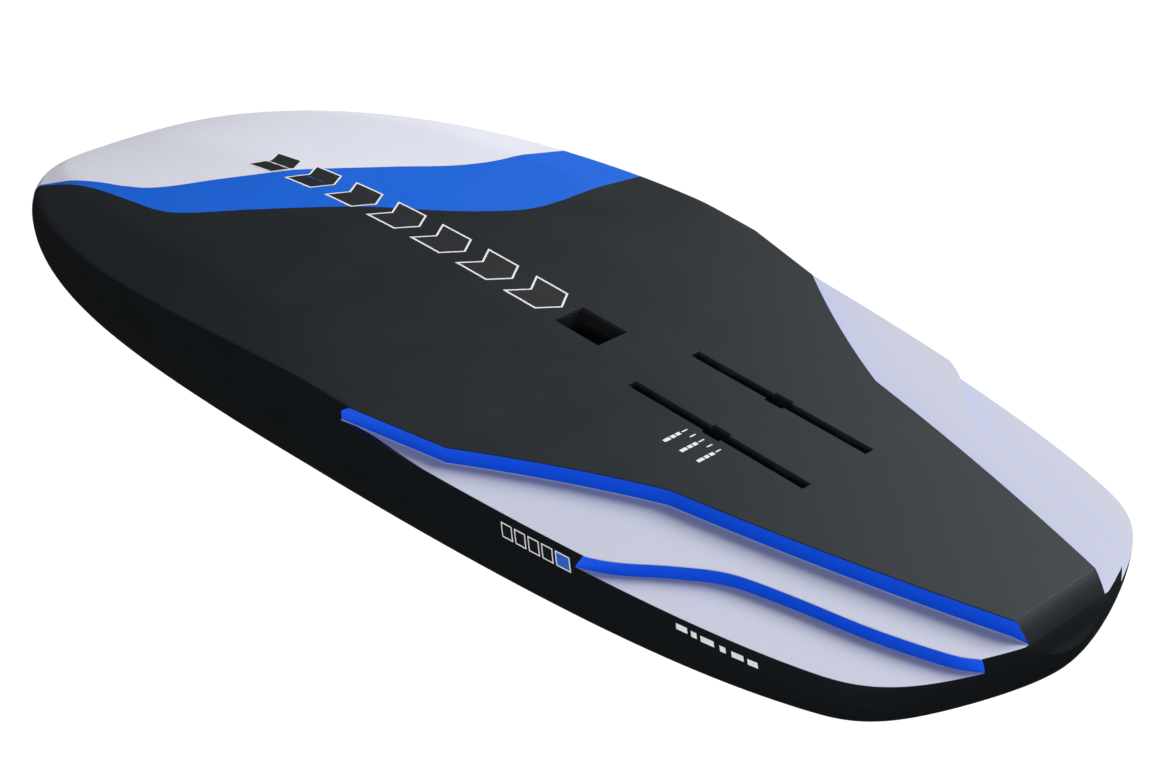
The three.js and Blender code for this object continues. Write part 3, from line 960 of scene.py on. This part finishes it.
def deck_pad(place):
    low, high = corners(f"deck_pad_{place}")
    x0, x1 = low[0] + PAD_ENDS_IN, high[0] - PAD_ENDS_IN

    def back_of(x, y):
        return deck_at(x, y) - GLUE_GAP - PAD_BACK_CLEAR

    def front_of(x, y):
        return deck_at(x, y) - GLUE_GAP - PAD_THICK

    half_at = pad_half(x0, x1, PAD_CORNER)
    made = slab(f"pad_{place}", graded(x0, x1, 56, PAD_RIM), half_at, back_of, front_of, PAD_RIM)
    for x, y, radius, face in FITTINGS:
        if x0 - WIDEST_HOLE < x < x1 + WIDEST_HOLE:
            hole = disc("hole", x, y, radius + HOLE_CLEAR, face - HOLE_REACH, face + HOLE_REACH, PAD)
            boolean(made, hole, "DIFFERENCE")
    mark_edges(made, 50)
    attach(made, "board")
    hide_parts(f"deck_pad_{place}")


for place_name in ("front", "middle", "tail"):
    deck_pad(place_name)


WEDGE_FRONT_X = 640
WEDGE_LENGTH = 72
WEDGE_RISE = 31
WEDGE_CORNER = 16
WEDGE_RIM = 4
WEDGE_GAP = 0.4
WEDGE_THINNEST = 0.4


def kick_wedge():
    """The wedge under the back foot."""
    low, high = corners("tail_kick")
    x0, x1, half = low[0] + 1, high[0], high[1]
    back = GLUE_GAP + PAD_THICK + WEDGE_GAP
    start = deck_height(WEDGE_FRONT_X) - PAD_THICK

    def back_of(x, y):
        return deck_at(x, y) - back

    def front_of(x, y):
        slope = start - WEDGE_RISE * (x - WEDGE_FRONT_X) / WEDGE_LENGTH
        return min(slope, deck_at(x, y) - back - WEDGE_THINNEST)

    def half_at(x):
        into = max(WEDGE_CORNER - (x1 - x), 0)
        return half - WEDGE_CORNER + math.sqrt(WEDGE_CORNER ** 2 - into ** 2)

    made = slab("kick_wedge", graded(x0, x1, 18, WEDGE_RIM), half_at, back_of, front_of, WEDGE_RIM)
    mark_edges(made, 50)
    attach(made, "board")
    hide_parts("tail_kick")


kick_wedge()


# ---- finishes of the fittings and the inside ----
def moulded(nodes, links, shader):
    noise = grain(nodes, links, shader, scale=1600, strength=0.25, low=0.45, high=0.62, edge=0.4)
    colour = speckled(nodes, links, noise, (0.008, 0.009, 0.010), (0.014, 0.015, 0.017))
    links.new(colour, shader.inputs["Base Color"])


def metal(dark, light, low, high):
    def build(nodes, links, shader):
        shader.inputs["Metallic"].default_value = 1
        noise = grain(nodes, links, shader, scale=500, strength=0.15, low=low, high=high, edge=0.3)
        links.new(speckled(nodes, links, noise, dark, light), shader.inputs["Base Color"])
    return build


def beaded(dark, light, scale):
    def build(nodes, links, shader):
        beads = add(nodes, "ShaderNodeTexVoronoi", Scale=scale)
        links.new(object_position(nodes), beads.inputs["Vector"])
        links.new(speckled(nodes, links, beads, dark, light), shader.inputs["Base Color"])
        bump = add(nodes, "ShaderNodeBump", Strength=0.6, Distance=0.0006)
        links.new(beads.outputs["Distance"], bump.inputs["Height"])
        links.new(bump.outputs["Normal"], shader.inputs["Normal"])
        shader.inputs["Roughness"].default_value = 0.95
    return build


RUBBER = ((0.010, 0.010, 0.010), (0.018, 0.018, 0.018))
SHEET = ((0.80, 0.80, 0.78), (0.88, 0.88, 0.86))
FINISHES = {
    "moulded_plastic": material("glass_filled_nylon", moulded),
    "stainless": material("machined_steel", metal((0.42, 0.43, 0.44), (0.58, 0.59, 0.60), 0.22, 0.42)),
    "brass": material("turned_brass", metal((0.55, 0.38, 0.16), (0.72, 0.54, 0.26), 0.25, 0.45)),
    "ring_rubber": material("nitrile_rubber", lacquer(RUBBER, 0.6, 0.8)),
    "membrane": material("ptfe_sheet", lacquer(SHEET, 0.8, 0.95)),
    "core_foam": material("polystyrene_beads", beaded((0.70, 0.70, 0.66), (0.92, 0.92, 0.88), 260)),
    "block_foam": material("pvc_foam", beaded((0.42, 0.33, 0.18), (0.62, 0.52, 0.32), 900)),
    "eva_pad": PAD,
    "bottom_paint": PAINT,
    "deck_paint": PAINT,
}
for subpart in frame["record"]["subparts"]:
    for holder in frame["nodes"][subpart["node"]].material_slots:
        holder.material = FINISHES[subpart["material_slot"]]


# ---- camera ----
AZIMUTH, ELEVATION, ROLL = 47.41, 32.45, 0.89
LENS = 66.24
EYE = (1.6462, -1.3443, 1.1784 + FLAT * MM)


def camera():
    """The photograph's viewpoint. Azimuth 0 looks towards port, and aft is on the right."""
    azimuth, elevation, roll = math.radians(AZIMUTH), math.radians(ELEVATION), math.radians(ROLL)
    back = Vector((math.sin(azimuth) * math.cos(elevation), -math.cos(azimuth) * math.cos(elevation),
                   math.sin(elevation)))
    right = (-back).cross(Vector((0, 0, 1))).normalized()
    up = back.cross(right)
    right, up = (math.cos(roll) * right + math.sin(roll) * up, -math.sin(roll) * right + math.cos(roll) * up)
    data = bpy.data.cameras.new("camera")
    data.sensor_width = 36
    data.lens = LENS
    made = bpy.data.objects.new("camera", data)
    turn = Matrix((right, up, back)).transposed().to_4x4()
    made.matrix_world = Matrix.Translation(EYE) @ turn
    scene.collection.objects.link(made)
    scene.camera = made


# ---- light and floor ----
def sun(name, toward, strength, spread, colour):
    """A broad light from far off, in the direction toward."""
    data = bpy.data.lights.new(name, "SUN")
    data.energy = strength
    data.angle = math.radians(spread)
    data.color = colour
    made = bpy.data.objects.new(name, data)
    made.rotation_euler = Vector(toward).to_track_quat("Z", "Y").to_euler()
    scene.collection.objects.link(made)


def panel(name, location, target, size, power):
    """A rectangular light that faces target. Power is in watts, and the rest in metres."""
    data = bpy.data.lights.new(name, "AREA")
    data.shape = "RECTANGLE"
    data.size, data.size_y = size
    data.energy = power
    made = bpy.data.objects.new(name, data)
    made.location = location
    made.rotation_euler = (Vector(target) - Vector(location)).to_track_quat("-Z", "Y").to_euler()
    scene.collection.objects.link(made)


def sky(nodes, links):
    """Pale overhead, fading to dark below the horizon."""
    direction = nodes.new("ShaderNodeTexCoord").outputs["Generated"]
    split = nodes.new("ShaderNodeSeparateXYZ")
    links.new(direction, split.inputs[0])
    ramp = nodes.new("ShaderNodeValToRGB")
    stops = ramp.color_ramp.elements
    stops[0].position, stops[0].color = 0.45, (0.02, 0.02, 0.02, 1)
    stops[1].position, stops[1].color = 0.90, (0.20, 0.20, 0.21, 1)
    height = math_node(nodes, links, "MULTIPLY_ADD", split.outputs["Z"], 0.5)
    height.node.inputs[2].default_value = 0.5
    links.new(height, ramp.inputs["Fac"])
    links.new(ramp.outputs["Color"], nodes["Background"].inputs["Color"])
    nodes["Background"].inputs["Strength"].default_value = 1.0


# in metres
FLOOR_LEVEL = -6
FLOOR_HALF = 80


def studio():
    world = bpy.data.worlds.new("studio")
    world.use_nodes = True
    sky(world.node_tree.nodes, world.node_tree.links)
    scene.world = world
    sun("key", toward=(0.15, 0.95, 0.80), strength=4.0, spread=40, colour=(1.0, 0.995, 0.99))
    sun("fill", toward=(0.8, -1.0, 0.30), strength=1.5, spread=50, colour=(0.96, 0.98, 1.0))
    panel("far_side", location=(-0.25, 2.0, 1.35), target=(0.4, 0.1, 0.19), size=(1.7, 0.9), power=6)

    def floor_paint(nodes, links, shader):
        noise = add(nodes, "ShaderNodeTexNoise", Scale=3, Detail=3)
        links.new(object_position(nodes), noise.inputs["Vector"])
        colour = speckled(nodes, links, noise, (0.96, 0.96, 0.96), (0.98, 0.98, 0.98))
        links.new(colour, shader.inputs["Base Color"])
        shader.inputs["Roughness"].default_value = 0.9

    square = ((-1, -1), (1, -1), (1, 1), (-1, 1))
    vertices = [(a * FLOOR_HALF, b * FLOOR_HALF, FLOOR_LEVEL) for a, b in square]
    floor = new_object("floor", vertices, [(0, 1, 2, 3)], [material("floor_paint", floor_paint)])
    floor.visible_glossy = False


camera()
studio()
scene.view_settings.view_transform = "Standard"
